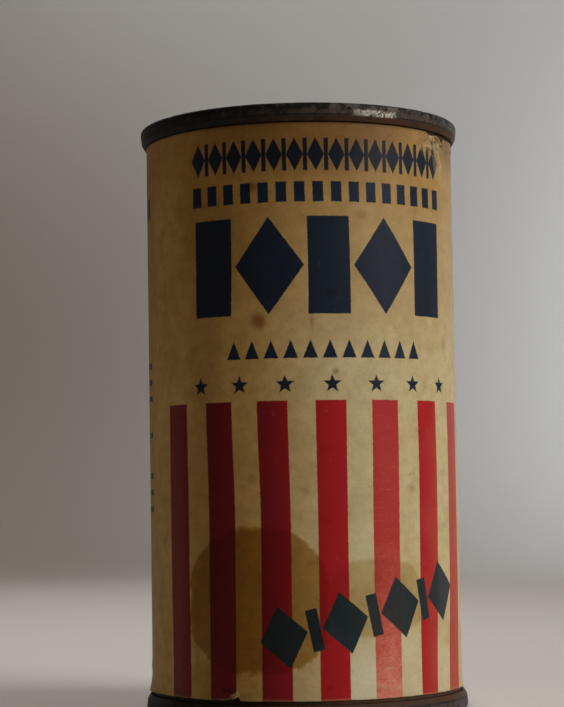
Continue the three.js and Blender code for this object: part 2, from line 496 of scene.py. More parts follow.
def browned(tree, spot, colours, paper, lit_side):
    """The paper browned in clouds, most at its top where hands held the tin, and blotched, the blotches
    showing less on the side that faces the key light, as painted light. Near its foot it is painted pale
    with glare."""
    age = add(tree, "MapRange", [spot.up, 56.0, 112.0, 0.0, 0.86], **SMOOTH)
    age = add(tree, "Math", [spot.broad, 0.8, age], "MULTIPLY_ADD")
    age = add(tree, "Math", [age, 0.41], "SUBTRACT")
    spared = marked(tree, spot, LESS_BROWNED_PLACES, spot.wander)
    age = add(tree, "Math", [age, spared], "SUBTRACT", use_clamp=True)
    paper = add(tree, "Mix", {SHARE: age, UNDER: paper, OVER: colours.paper_warm}, **BLEND)
    # Blotches show less on the lit side, as part of the painted light.
    steady = add(tree, "MapRange", [lit_side, 0.0, 1.0, 1.0, 0.7])
    blotches = (
        (spot.cloudy, colours.foxing, 0.19),
        (spot.blotch, colours.olive, 0.3),
        (spot.small_blotch, colours.foxing, 0.22),
    )
    for blotch, hue, most in blotches:
        blotch = add(tree, "MapRange", [blotch, 0.38, 0.68, 0.0, most])
        blotch = add(tree, "Math", [blotch, steady], "MULTIPLY")
        paper = add(tree, "Mix", {SHARE: blotch, UNDER: paper, OVER: hue}, **TINT)
    # Painted glare near the foot.
    glared = marked(tree, spot, GLARED_PLACES, spot.wander)
    return add(tree, "Mix", {SHARE: glared, UNDER: paper, OVER: colours.glared_paper}, **BLEND)


def spilt_on(tree, spot, colours, paper, red):
    """The paper, the red and the blue-green where a spill soaked in, less into ink than into bare paper.
    It deepens like a dye where it pooled."""
    shore = add(tree, "Math", [spot.shore, 0.5], "SUBTRACT")
    spill = marked(tree, spot, SPILL, shore)
    dye = add(tree, "Gamma", {"Color": colours.stain, "Gamma": spill})
    soaked = ((1.0, paper), (0.6, red), (0.6, colours.green))
    return [add(tree, "Mix", {SHARE: much, UNDER: under, OVER: dye}, **TINT) for much, under in soaked]


def rubbed_inks(tree, spot, colours, red, green):
    """Pairs of an ink and how much of it is left: the red, the navy and the blue-green. Ink is slightly
    uneven all over. Less red and blue-green is kept near both sides of the front, as painted sheen, and
    one stripe is scratched, scuffed and painted pale with glare."""
    kept = add(tree, "MapRange", [spot.mottle, 0.64, 0.8, 1.0, 0.9])
    sheen_and_scuff = marked(tree, spot, GRAZING_SHEEN_PLACES, spot.wander)
    scuff_and_glare = marked(tree, spot, SCUFF_AND_GLARE_PLACES, spot.wander)
    rubs = add(tree, "Math", [spot.mottle, 0.4, spot.grain], "MULTIPLY_ADD")
    rubs = add(tree, "MapRange", [rubs, 0.4, 1.0, 0.2, 1.8])
    scuff_and_glare = add(tree, "Math", [scuff_and_glare, rubs], "MULTIPLY")
    sheen_and_scuff = add(tree, "Math", [sheen_and_scuff, scuff_and_glare], "ADD")
    # The scuffed stripe's ink is painted pale as glare.
    pale = add(tree, "Math", [scuff_and_glare, 3.5], "MULTIPLY", use_clamp=True)
    red = add(tree, "Mix", {SHARE: pale, UNDER: red, OVER: colours.scuff_and_glare_red}, **BLEND)
    scratch = add(tree, "VectorMath", [spot.place, (0.3, 0.3, 2.8)], "MULTIPLY")
    scratch = add(tree, "TexNoise", {"Vector": scratch, "Scale": 1.0, "Detail": 2.0})
    scratch = add(tree, "MapRange", [scratch, 0.62, 0.7], **SMOOTH)
    scratch = add(tree, "Math", [scratch, scuff_and_glare], "MULTIPLY")
    red_kept = add(tree, "Math", [scratch, -2.5, kept], "MULTIPLY_ADD")
    red_kept = add(tree, "Math", [red_kept, sheen_and_scuff], "SUBTRACT", use_clamp=True)
    green_kept = add(tree, "Math", [sheen_and_scuff, -0.3, kept], "MULTIPLY_ADD")
    return (red, red_kept), (colours.navy, kept), (green, green_kept)


def printed(tree, spot, layout, paper, inks):
    """The paper with its figures printed on it. The ink's edges wander and are slightly soft."""
    ragged = add(tree, "Math", [spot.ragged, 0.5], "SUBTRACT")
    bleed = layout.bleed / MM
    finish = paper
    for shape, (ink, left) in zip(printed_shapes(tree, spot, layout), inks):
        edge = add(tree, "Math", [ragged, 2.2 * bleed, shape], "MULTIPLY_ADD")
        cover = add(tree, "MapRange", [edge, -bleed, bleed], **SMOOTH)
        cover = add(tree, "Math", [cover, left], "MULTIPLY")
        finish = add(tree, "Mix", {SHARE: cover, UNDER: finish, OVER: ink}, **BLEND)
    return finish


def dirtied_and_shaded(tree, spot, colours, finish):
    """Paper and ink under brown age spots, freckles, painted shade under the seams and at the sides,
    painted shade in the creases and along the edges, and fine dark flecks.
    """
    freckle = add(tree, "MapRange", [spot.freckle, 0.6, 0.78, 0.0, 0.45], **SMOOTH)
    spots = marked(tree, spot, BROWN_SPOTS, spot.wander)
    spots = add(tree, "Math", [spots, freckle], "MAXIMUM")
    # Painted shade under the seams and at the label's sides.
    painted_shade = marked(tree, spot, PAINTED_SHADE_PLACES, spot.wander)
    # Painted shade in the creases, along the edges, beside the lap and in the notch.
    crease_and_edge_shade = add(tree, "Attribute", attribute_name="crease_and_edge_shade").outputs["Fac"]
    fleck = add(tree, "MapRange", [spot.grain, 0.3, 0.7, 0.0, 0.15])
    layers = (
        (spots, colours.foxing),
        (painted_shade, colours.painted_shade),
        (crease_and_edge_shade, colours.shade_and_grime),
        (fleck, colours.shade_and_grime),
    )
    for share, hue in layers:
        finish = add(tree, "Mix", {SHARE: share, UNDER: finish, OVER: hue}, **TINT)
    return finish


def aged_coated_paper(colours, sizes, layout):
    """Coated label paper, litho printed. It gives a faint sheen over flat ink, paper that is paler and ink
    that is brighter on the side that faces the key light (painted light), painted shade under the seams
    and at the sides, painted glare near the foot, a spill's stain, and creases with painted shade in their
    hollows and painted highlights on their ridges, which are partly real wear."""
    material, tree, shader = new_material("aged_coated_paper")
    spot = label_spot(tree, sizes)
    lit_side, paper, red = lit_and_shaded_paper_and_red(tree, spot, colours)
    paper = browned(tree, spot, colours, paper, lit_side)
    paper, red, green = spilt_on(tree, spot, colours, paper, red)
    inks = rubbed_inks(tree, spot, colours, red, green)
    finish = printed(tree, spot, layout, paper, inks)

    # Torn places, and places where the coating has come off, show the pale core of the paper; the ridges
    # of creases are painted pale as highlights, partly real wear.
    wear_and_light = add(tree, "Attribute", attribute_name="wear_and_light").outputs["Fac"]
    core = add(tree, "MapRange", [spot.mottle, 0.25, 0.5])
    core = add(tree, "Math", [core, wear_and_light], "MULTIPLY", use_clamp=True)
    finish = add(tree, "Mix", {SHARE: core, UNDER: finish, OVER: colours.fibre}, **BLEND)
    finish = dirtied_and_shaded(tree, spot, colours, finish)

    # The coating has lost most of its shine, and all of it where it is worn
    rough = add(tree, "MapRange", [spot.mottle, 0.3, 0.7, 0.44, 0.54])
    rough = add(tree, "Math", [wear_and_light, 0.4, rough], "MULTIPLY_ADD", use_clamp=True)
    relief = add(tree, "Math", [spot.grain, 0.35, spot.mottle], "MULTIPLY_ADD")
    bump = add(tree, "Bump", {"Height": relief, "Distance": 0.03 * MM})
    surface = {"Base Color": finish, "Roughness": rough, "Normal": bump, "Specular IOR Level": 0.1}
    fill(tree, shader, surface)
    return material


# Depths below a seam's crest between which its parts blend, in millimetres: the crest into the outer
# face, the face into the fold, and the head and the foot of the groove above the fold, where shade is
# painted dark
CREST_TO_FACE = (1.05, 1.6)
FACE_TO_FOLD = (2.3, 2.8)
GROOVE_HEAD = (2.1, 2.4)
GROOVE_FOOT = (2.75, 2.5)
# How far in from the seam's widest line the panel blends into the seam
PANEL_TO_SEAM = (3.3, 1.9)
# Where bare tin flecks lie on the upper seam's face, at the angle where the key light glints on it:
# partly rubbed tin, partly a painted glint. And how far from there the patch starts and is full.
GLINT_AT = math.radians(17.8)
GLINT_WITHIN = (math.radians(10.0), math.radians(6.0))


def seam_parts(tree, parts, sizes, top):
    """The shares, from 0 to 1, in which a point lies below a seam's crest, and on its crest, its outer
    face, its fold and the groove above the fold, where shade is painted. The panel inside the seam has
    none of them."""
    from_top = add(tree, "Math", [top / MM, parts["Z"]], "SUBTRACT")
    depth = add(tree, "Math", [from_top, parts["Z"]], "MINIMUM")
    square = add(tree, "Math", [parts["Y"], parts["Y"]], "MULTIPLY")
    square = add(tree, "Math", [parts["X"], parts["X"], square], "MULTIPLY_ADD")
    radius = add(tree, "Math", [square], "SQRT")
    inner_edge = [sizes.seam_radius / MM - inset for inset in PANEL_TO_SEAM]
    seam = add(tree, "MapRange", [radius, *inner_edge], **SMOOTH)
    depth = add(tree, "Math", [depth, seam], "MULTIPLY")
    below_crest, fold, groove = [
        add(tree, "MapRange", [depth, *limits], **SMOOTH)
        for limits in (CREST_TO_FACE, FACE_TO_FOLD, GROOVE_HEAD)
    ]
    face = add(tree, "Math", [below_crest, fold], "SUBTRACT", use_clamp=True)
    crest = add(tree, "Math", [seam, below_crest], "SUBTRACT", use_clamp=True)
    groove_foot = add(tree, "MapRange", [depth, *GROOVE_FOOT, 0.0, 0.8], **SMOOTH)
    groove = add(tree, "Math", [groove, groove_foot], "MULTIPLY")
    return below_crest, crest, face, fold, groove


def glint_patch(tree, parts, turn, face, top):
    """The share in which a point lies in the patch of the upper seam's face where the key light glints:
    bare tin from wear, partly a painted glint.
    """
    off = add(tree, "Math", [turn, GLINT_AT], "SUBTRACT")
    off = add(tree, "Math", [off], "ABSOLUTE")
    rubbed_and_lit = add(tree, "MapRange", [off, *GLINT_WITHIN], **SMOOTH)
    upper = add(tree, "Math", [parts["Z"], top / MM / 2], "GREATER_THAN")
    rubbed_and_lit = add(tree, "Math", [rubbed_and_lit, upper], "MULTIPLY")
    return add(tree, "Math", [rubbed_and_lit, face], "MULTIPLY")


def rusted_tinplate(colours, sizes, top):
    """Tin-coated steel sheet, rolled and pressed. It gives dark brown, nearly matt rust, browner in the
    seam's fold on the side that faces the key light, lighter rust and more dull steel on that side
    (painted light), painted shade in the groove above the fold, and a patch of bare tin flecks where the
    key light glints on the upper seam, partly real wear and partly a painted glint."""
    material, tree, shader = new_material("rusted_tinplate")
    place, parts, turn, noises = tin_places(tree, STEEL_NOISES)
    bloom, patchy, pit = noises.values()
    below_crest, crest, face, fold, groove = seam_parts(tree, parts, sizes, top)
    rubbed_and_lit = glint_patch(tree, parts, turn, face, top)
    # Bare tin flecks lie only in the patch where the key light glints: partly worn tin, partly a painted
    # glint.
    flecks = add(tree, "Math", [pit, 0.6], "MULTIPLY")
    flecks = add(tree, "Math", [patchy, 0.4, flecks], "MULTIPLY_ADD")
    flecks = add(tree, "MapRange", [flecks, 0.38, 0.58], **SMOOTH)
    flecks = add(tree, "Math", [flecks, rubbed_and_lit], "MULTIPLY")

    # Tinplate shows through in dull patches, more on the side that faces the key light, which is painted
    # lighter
    side = (math.sin(LIT_SIDE_DIRECTION), -math.cos(LIT_SIDE_DIRECTION), 0.0)
    reach = sizes.seam_radius / MM
    lit_rim_side = add(tree, "VectorMath", [place, side], "DOT_PRODUCT")
    lit_rim_side = add(tree, "MapRange", [lit_rim_side, -0.35 * reach, 0.9 * reach], **SMOOTH)
    wear_and_light = add(tree, "Math", [patchy, 0.5], "MULTIPLY")
    for part, share in ((bloom, 0.5), (below_crest, -0.05), (fold, -0.1), (rubbed_and_lit, 0.2), (lit_rim_side, 0.1)):
        wear_and_light = add(tree, "Math", [part, share, wear_and_light], "MULTIPLY_ADD")
    dull = add(tree, "MapRange", [wear_and_light, 0.57, 0.67], **SMOOTH)

    # Rust of several ages lies in patches, lighter on the side that faces the key light (painted light),
    # redder in the fold only on that side, and darkest in the groove above the fold, where shade is
    # painted
    mixed = patchy
    for part, share in ((lit_rim_side, 0.2), (fold, -0.1), (crest, -0.14)):
        mixed = add(tree, "Math", [part, share, mixed], "MULTIPLY_ADD")
    mixed = add(tree, "MapRange", [mixed, 0.42, 0.76], **SMOOTH)
    lit_fold_red = add(tree, "Math", [fold, bloom], "MULTIPLY")
    lit_fold_red = add(tree, "Math", [lit_fold_red, 1.6], "MULTIPLY", use_clamp=True)
    lit_fold_red = add(tree, "Math", [lit_fold_red, lit_rim_side], "MULTIPLY")
    rusts = {SHARE: lit_rim_side, UNDER: colours.rust, OVER: colours.lit_side_rust}
    layers = (
        (mixed, add(tree, "Mix", rusts, **BLEND)),
        (lit_fold_red, colours.red_rust),
        (dull, colours.dull_tin),
        (groove, colours.dark_rust),
        (flecks, colours.bare_tin),
    )
    finish = colours.dark_rust
    for share, over in layers:
        finish = add(tree, "Mix", {SHARE: share, UNDER: finish, OVER: over}, **BLEND)

    # Rust takes up light in its pores, so little shine is left
    metal = add(tree, "Math", [dull, 0.4], "MULTIPLY")
    metal = add(tree, "Math", [flecks, 0.75, metal], "MULTIPLY_ADD", use_clamp=True)
    rough = add(tree, "MapRange", [metal, 0.0, 1.0, 0.62, 0.46])
    relief = add(tree, "Math", [pit, 0.4], "MULTIPLY")
    relief = add(tree, "Math", [patchy, 0.6, relief], "MULTIPLY_ADD")
    bump = add(tree, "Bump", {"Height": relief, "Distance": 0.12 * MM})
    surface = {"Base Color": finish, "Metallic": metal, "Roughness": rough, "Normal": bump}
    surface["Specular IOR Level"] = 0.16
    fill(tree, shader, surface)
    return material


def seamless_paper(colours):
    """A wide roll of matt backdrop paper: plain and pale, with no shine."""
    material, tree, shader = new_material("seamless_backdrop_paper")
    fill(tree, shader, {"Base Color": colours.floor, "Roughness": 0.9})
    return material


# Meshes


def mesh_object(name, vertices, faces, material, sharp_angle=40.0):
    """A smooth-shaded object whose edges are sharp where its faces turn more than an angle."""
    mesh = bpy.data.meshes.new(name)
    mesh.from_pydata([tuple(v) for v in vertices], [], faces)
    mesh.update()
    mesh.polygons.foreach_set("use_smooth", [True] * len(mesh.polygons))
    mesh.set_sharp_from_angle(angle=math.radians(sharp_angle))
    mesh.materials.append(material)
    piece = bpy.data.objects.new(name, mesh)
    bpy.context.scene.collection.objects.link(piece)
    return piece


def fillet(before, corner, after, bend, steps=7):
    """The points of the arc that rounds a corner of a section."""
    back, on = Vector(before) - Vector(corner), Vector(after) - Vector(corner)
    half = back.angle(on) / 2
    nearly_straight, most_of_side = math.radians(89), 0.98
    if bend == 0.0 or half > nearly_straight:
        return [tuple(corner)]
    reach = min(bend / math.tan(half), most_of_side * back.length, most_of_side * on.length)
    bend = reach * math.tan(half)
    inwards = (back.normalized() + on.normalized()).normalized()
    middle = Vector(corner) + inwards * (bend / math.sin(half))
    first = Vector(corner) + back.normalized() * reach - middle
    last = Vector(corner) + on.normalized() * reach - middle
    sweep = first.angle_signed(last)
    points = []
    for i in range(steps + 1):
        spoke = first.copy()
        spoke.rotate(Matrix.Rotation(-sweep * i / steps, 2))
        points.append(tuple(middle + spoke))
    return points


def rounded(corners):
    """A section whose corners (radius, depth, bend) are rounded."""
    points = [corners[0][:2]]
    for before, corner, after in zip(corners, corners[1:], corners[2:]):
        points += fillet(before[:2], corner[:2], after[:2], corner[2])
    return points + [corners[-1][:2]]


def filled(points, longest):
    """A section with points added so that no stretch is longer than a length."""
    result = [points[0]]
    for start, end in zip(points, points[1:]):
        count = max(1, math.ceil((Vector(end) - Vector(start)).length / longest))
        for i in range(1, count + 1):
            result.append(tuple(Vector(start).lerp(Vector(end), i / count)))
    return result


# Bends of the end's section, how far its panel's rim leans, and the longest stretch between its points
LIP_BEND = 0.22 * MM
FOLD_BEND = 0.5 * MM
FACE_BEND = 2.0 * MM
PANEL_BEND = 0.3 * MM
BEAD_BEND = 0.5 * MM
PANEL_LEAN = 0.08 * MM
SECTION_STEP = 0.7 * MM


def end_section(sizes):
    """Half of an end's section as (radius, depth) points, from its underside to its panel's middle."""
    widest = sizes.seam_radius
    inner = widest - sizes.seam_thickness
    channel_wall = inner - sizes.chuck_taper
    channel_end = channel_wall - 2 * sizes.channel_bend
    corners = [
        (0.0, sizes.seam_height, 0.0),
        (widest - sizes.lip_inset, sizes.seam_height, LIP_BEND),
        (widest - sizes.taper, sizes.fold_depth, FOLD_BEND),
        (widest, sizes.shoulder, FACE_BEND),
        (widest, 0.0, sizes.crest_bend),
        (inner, 0.0, sizes.inner_crest_bend),
        (channel_wall, sizes.channel_depth, sizes.channel_bend),
        (channel_end, sizes.channel_depth, sizes.channel_bend),
        (channel_end - PANEL_LEAN, sizes.panel_depth, PANEL_BEND),
    ]
    panel, rise = sizes.panel_depth, sizes.bead_rise
    for bead in (sizes.outer_bead, sizes.inner_bead):
        half = sizes.bead_width / 2
        for share, raised in ((1, 0), (0.35, 1), (-0.35, 1), (-1, 0)):
            corners.append((bead + share * half, panel - rise * raised, BEAD_BEND))
    corners.append((0.0, panel, 0.0))
    return filled(rounded(corners), SECTION_STEP)


# Angles in degrees, depths in millimetres
Dent = namedtuple("Dent", "angle half_width depth")
SEAM_DENTS = [
    Dent(-62.0, 2.2, 0.10),
    Dent(-18.0, 1.4, 0.07),
    Dent(41.0, 1.8, 0.09),
    Dent(118.0, 2.6, 0.14),
    Dent(171.0, 1.6, 0.10),
    Dent(-131.0, 2.8, 0.12),
]
# The noise that wavers round the seam, as (times finer than the seam's radius, share), and how much
# of it changes with a millimetre of depth
WAVERS = ((3.1, 0.7), (14.0, 0.3))
WAVER_BY_DEPTH = 0.15
# Within this radius the panel is a true disc
TRUE_WITHIN = 20.0 * MM


def seam_waver(degrees, radius, depth, sizes):
    """How far the rolled steel lies inside its true form, at a place round the seam."""
    turn = math.radians(degrees)
    place = Vector((math.cos(turn), math.sin(turn), depth / MM * WAVER_BY_DEPTH))
    waver = 0.0
    for finer, share in WAVERS:
        waver += sizes.wobble * (0.5 + 0.5 * noise.noise(finer * place)) * share
    if radius > sizes.seam_radius - sizes.seam_thickness:
        for dent in SEAM_DENTS:
            away = abs(degrees - dent.angle) / dent.half_width
            if away < 1:
                waver += dent.depth * MM * (1 - away * away) ** 2
    return waver


def turned(name, sizes, place_depth, material, reverse):
    """Turns an end's section round the tin's axis, with the slight waver of rolled steel."""
    section = end_section(sizes)
    steps = sizes.steps
    vertices = [(0.0, 0.0, place_depth(section[0][1]))]
    for radius, depth in section[1:-1]:
        for i in range(steps):
            degrees = 360 * i / steps - 180
            waver = seam_waver(degrees, radius, depth, sizes) if radius > TRUE_WITHIN else 0.0
            sink = 0.5 * waver if depth < sizes.shoulder else 0.0
            reach = radius - waver
            turn = math.radians(degrees)
            vertices.append((reach * math.sin(turn), -reach * math.cos(turn), place_depth(depth + sink)))
    vertices.append((0.0, 0.0, place_depth(section[-1][1])))
    faces = []
    rings = len(section) - 2
    last = len(vertices) - 1
    for i in range(steps):
        j = (i + 1) % steps
        faces.append((0, 1 + j, 1 + i))
        for ring in range(rings - 1):
            low, high = 1 + ring * steps, 1 + (ring + 1) * steps
            faces.append((low + i, low + j, high + j, high + i))
        start = 1 + (rings - 1) * steps
        faces.append((start + i, start + j, last))
    if reverse:
        faces = [tuple(reversed(face)) for face in faces]
    return mesh_object(name, vertices, faces, material)


# The paper's relief, as (angle, height) places in degrees and millimetres

Crease = namedtuple("Crease", "start end half_width height")
CREASES = [
    Crease((39.5, 116.3), (44.5, 116.7), 0.55, 0.12),
    Crease((44.5, 116.7), (50.6, 117.6), 0.5, 0.26),
    Crease((50.6, 117.6), (55.2, 118.0), 0.45, 0.30),
    Crease((55.2, 117.8), (63.0, 117.5), 0.5, 0.26),
    Crease((63.0, 117.5), (74.0, 118.2), 0.6, 0.16),
    Crease((45.4, 119.0), (49.4, 117.9), 0.45, 0.24),
    Crease((49.0, 117.0), (57.8, 116.9), 0.6, 0.22),
    Crease((56.5, 119.2), (58.5, 117.9), 0.45, 0.20),
    Crease((47.0, 117.5), (51.8, 118.7), 0.35, -0.22),
    Crease((51.6, 118.5), (53.8, 117.4), 0.3, -0.22),
    Crease((51.0, 116.9), (54.0, 113.4), 0.6, 0.16),
    Crease((54.0, 113.4), (52.2, 110.6), 0.6, 0.14),
    Crease((48.4, 115.6), (50.0, 111.8), 0.6, 0.12),
    Crease((-40.5, 6.5), (-36.4, 6.2), 0.35, -0.20),
    Crease((-37.4, 5.2), (-34.9, 6.1), 0.3, 0.24),
    Crease((-33.0, 6.6), (-28.0, 6.2), 0.4, 0.08),
    Crease((-75.0, 9.2), (-98.0, 9.6), 0.9, 0.10),
    Crease((14.5, 6.9), (24.5, 6.5), 0.5, 0.10),
    Crease((150.0, 116.5), (171.0, 115.2), 0.6, 0.14),
    Crease((-121.0, 60.0), (-135.0, 52.0), 0.9, 0.12),
]
# Where the paper's upper edge is torn down, as (angle, depth)
TORN_TOP = [
    (44.3, 0.0),
    (44.9, 0.72),
    (47.6, 0.66),
    (50.7, 0.48),
    (53.2, 0.72),
    (54.4, 1.15),
    (55.1, 2.0),
    (55.6, 1.9),
    (56.4, 0.7),
    (60.0, 0.42),
    (66.0, 0.3),
    (74.0, 0.1),
    (78.0, 0.0),
]
# Where its lower edge is torn up, as (angle, height)
TORN_FOOT = [(-40.2, 0.0), (-38.6, 0.22), (-36.3, 0.3), (-34.6, 0.85), (-34.2, 0.7), (-33.8, 0.0)]
# Where its lower edge curls out, as (angle, half width, height), and how far up that reaches
FOOT_CURLS = [(-94.0, 22.0, 0.62), (76.0, 20.0, 0.26), (150.0, 25.0, 0.2), (-36.6, 2.6, 0.3)]
CURL_HEIGHT = 4.2
# Where the torn edges show the paper's core: the upper one as (angle, share), the lower one as its
# middle and half width. How far in from its edges the paper shows wear and takes painted shade.
BARE_TOP = [(44.0, 0.0), (45.0, 1.0), (57.0, 1.0), (59.0, 0.0)]
BARE_FOOT = (-36.0, 3.4)
EDGE_RUB = 0.5
# The corner at the upper right: where it stands off, ripples and is crumpled, and where shade is
# painted dark in its notch
Swelling = namedtuple("Swelling", "angle half_width up half_height")
LIFTED = Swelling(50.0, 6.5, 119.0, 2.2)
RIPPLED = Swelling(49.5, 5.0, 113.8, 3.6)
CRUMPLED = Swelling(48.5, 13.0, 118.2, 4.6)
NOTCHED = Swelling(55.3, 1.2, 118.4, 1.4)
# The sizes of the noises that make its fine folds and the sunken lines between them, which are
# painted dark as shade, in millimetres, and the noise at which such a line ends
FOLD_NOISE, SHADE_LINE_NOISE, LINE_END = 1.7, 1.9, 0.13


def near_segment(along, up, start, end):
    """How far each place of a grid is from a line between two places, in millimetres."""
    to_mm = math.radians(1) * LABEL_RADIUS_MM
    x0, y0 = start[0] * to_mm, start[1]
    dx, dy = end[0] * to_mm - x0, end[1] - y0
    x, y = along * to_mm - x0, up - y0
    share = np.clip((x * dx + y * dy) / (dx * dx + dy * dy), 0.0, 1.0)
    return np.hypot(x - share * dx, y - share * dy)


def swell(value, middle, half_width):
    """A smooth hump, 1 at its middle and 0 past its half width."""
    share = np.clip(np.abs(value - middle) / half_width, 0.0, 1.0)
    return (1 - share * share) ** 2


def swollen(along, up, place):
    """A smooth hump over one place of the paper."""
    return swell(along, place.angle, place.half_width) * swell(up, place.up, place.half_height)


def noise_grid(along, up, scale, seed):
    """Smooth noise from -1 to 1 on a grid of places round the tin."""
    turn = np.radians(along)
    x, y = LABEL_RADIUS_MM * np.sin(turn), -LABEL_RADIUS_MM * np.cos(turn)
    flat = zip(x.ravel(), y.ravel(), np.broadcast_to(up, x.shape).ravel())
    values = [noise.noise(Vector(p) / scale + Vector((seed, seed, seed))) for p in flat]
    return np.array(values).reshape(x.shape)


def fine_lines(along, up, scale, seed):
    """Fine branching lines, where a noise passes through zero."""
    return np.clip(1 - np.abs(noise_grid(along, up, scale, seed)) / LINE_END, 0.0, 1.0)


# The paper's grid: its steps round the tin in degrees, finer in the two torn places
COARSE_STEP, FINE_STEP = 1.2, 0.4
FINE_PLACES = ((38, 76), (-42, -30))


def label_angles(sizes):
    """Angles of the paper's columns: finer where it is torn, and close together at the lap's edge."""
    edge = math.degrees(sizes.lap_edge)
    clear, beside = 0.5, 0.05
    angles, here = [], -180.0
    while here < 180.0 - clear:
        angles.append(here)
        fine = any(low < here < high for low, high in FINE_PLACES)
        here += FINE_STEP if fine else COARSE_STEP
    angles = [a for a in angles if abs(a - edge) > clear]
    return np.array(sorted(angles + [edge - beside, edge + beside]))


def label_levels(coarse, fine):
    """Heights of the paper's rows, from 0 at its foot to 1 at its top: finer near both edges."""
    edge_zone = 7.0
    near = np.arange(0.0, edge_zone, fine)
    middle = np.arange(edge_zone, LABEL_HEIGHT_MM - edge_zone, coarse)
    far = LABEL_HEIGHT_MM - near[::-1]
    return np.concatenate([near, middle, far]) / LABEL_HEIGHT_MM


def lap_height(along, sizes):
    """How far the outer end of the paper stands up: a step at its free edge, then a gentle fall."""
    past = along - math.degrees(sizes.lap_edge)
    width = math.degrees(sizes.lap_width)
    level_share = 1 / 3
    fall = np.minimum(1.0, (width - past) / width / (1 - level_share))
    return np.where((past > 0) & (past < width), sizes.lap_rise / MM * fall, 0.0)


def paper_relief(along, up, sizes):
    """How far the paper stands off the tin, in millimetres, how much wear it shows, with painted
    highlights on the ridges of its creases, and the painted shade in their hollows.
    """
    slack = sizes.slack / MM
    lift = slack * (0.5 + 0.5 * noise_grid(along, up, scale=22.0, seed=3.0))
    lift += 0.3 * slack * (0.5 + 0.5 * noise_grid(along, up * 0.5, scale=6.0, seed=11.0))
    lift += lap_height(along, sizes)
    pasted_edge = swell(along, math.degrees(sizes.lap_edge) + 1.0, 1.4)
    lift += 0.06 * pasted_edge * (0.5 + noise_grid(along * 0, up, scale=9.0, seed=5.0))
    lift += 0.30 * swollen(along, up, LIFTED)
    ripple = 0.5 + 0.5 * np.cos(2.2 * up + 0.25 * along)
    lift += 0.14 * swollen(along, up, RIPPLED) * ripple
    crumple = swollen(along, up, CRUMPLED)
    fold = fine_lines(along, up, FOLD_NOISE, seed=41.0)
    shade_lines = fine_lines(along, up, SHADE_LINE_NOISE, seed=57.0)
    lift += 0.24 * crumple * fold - 0.12 * crumple * shade_lines
    curl = np.clip(1 - (up - sizes.foot / MM) / CURL_HEIGHT, 0.0, 1.0) ** 2
    for middle, half_width, height in FOOT_CURLS:
        lift += height * curl * swell(along, middle, half_width)
    # Ridges of the crumpled corner and of the creases are painted pale as highlights, partly real wear.
    wear_and_light = 0.7 * crumple * fold
    crease_and_edge_shade = 0.9 * crumple * shade_lines
    for crease in CREASES:
        away = near_segment(along, up, crease.start, crease.end)
        hump = np.exp(-((away / crease.half_width) ** 2))
        lift += crease.height * hump
        if crease.height > 0:
            wear_and_light += 2.2 * crease.height * hump
        # Hollow creases get painted shade.
        else:
            crease_and_edge_shade += 3.0 * -crease.height * hump
    return np.maximum(lift, 0.0), wear_and_light, crease_and_edge_shade


def paper_edges(angles, sizes):
    """The heights of the paper's foot and top round the tin, frayed and torn."""
    wear = sizes.edge_wear / MM
    foot = sizes.foot / MM + wear * np.abs(noise_grid(angles, 4.0, scale=2.2, seed=21.0))
    top = sizes.top / MM - wear * np.abs(noise_grid(angles, 120.0, scale=1.8, seed=33.0))
    top -= np.interp(angles, *zip(*TORN_TOP))
    foot += np.interp(angles, *zip(*TORN_FOOT))
    return foot, top


def edge_marks(angles, up, foot, top, sizes):
    """How much more wear the paper shows at its edges and its torn corner, and the painted shade along
    its top and foot, beside its lap's free edge and in its notch.
    """
    near_top = np.clip(1 - (top - up) / EDGE_RUB, 0, 1)
    near_foot = np.clip(1 - (up - foot) / EDGE_RUB, 0, 1)
    torn = np.interp(angles, *zip(*BARE_TOP))
    wear_and_light = 0.9 * near_top * torn + 0.5 * near_foot * swell(angles, *BARE_FOOT) + 0.25 * near_foot
    # Painted shade along the top under the seam and along the foot, beside the lap's free edge, and in the
    # notch.
    crease_and_edge_shade = 0.5 * near_top * (1 - torn) + 0.15 * near_foot
    crease_and_edge_shade += 0.8 * swell(angles, math.degrees(sizes.lap_edge) - 0.35, 0.6)
    crease_and_edge_shade += 0.9 * swollen(angles, up, NOTCHED)
    return wear_and_light, crease_and_edge_shade


def ring_faces(low, high, count):
    """Faces between two rings of vertices, given the number of each ring's first vertex."""
    return [(low + i, low + (i + 1) % count, high + (i + 1) % count, high + i) for i in range(count)]


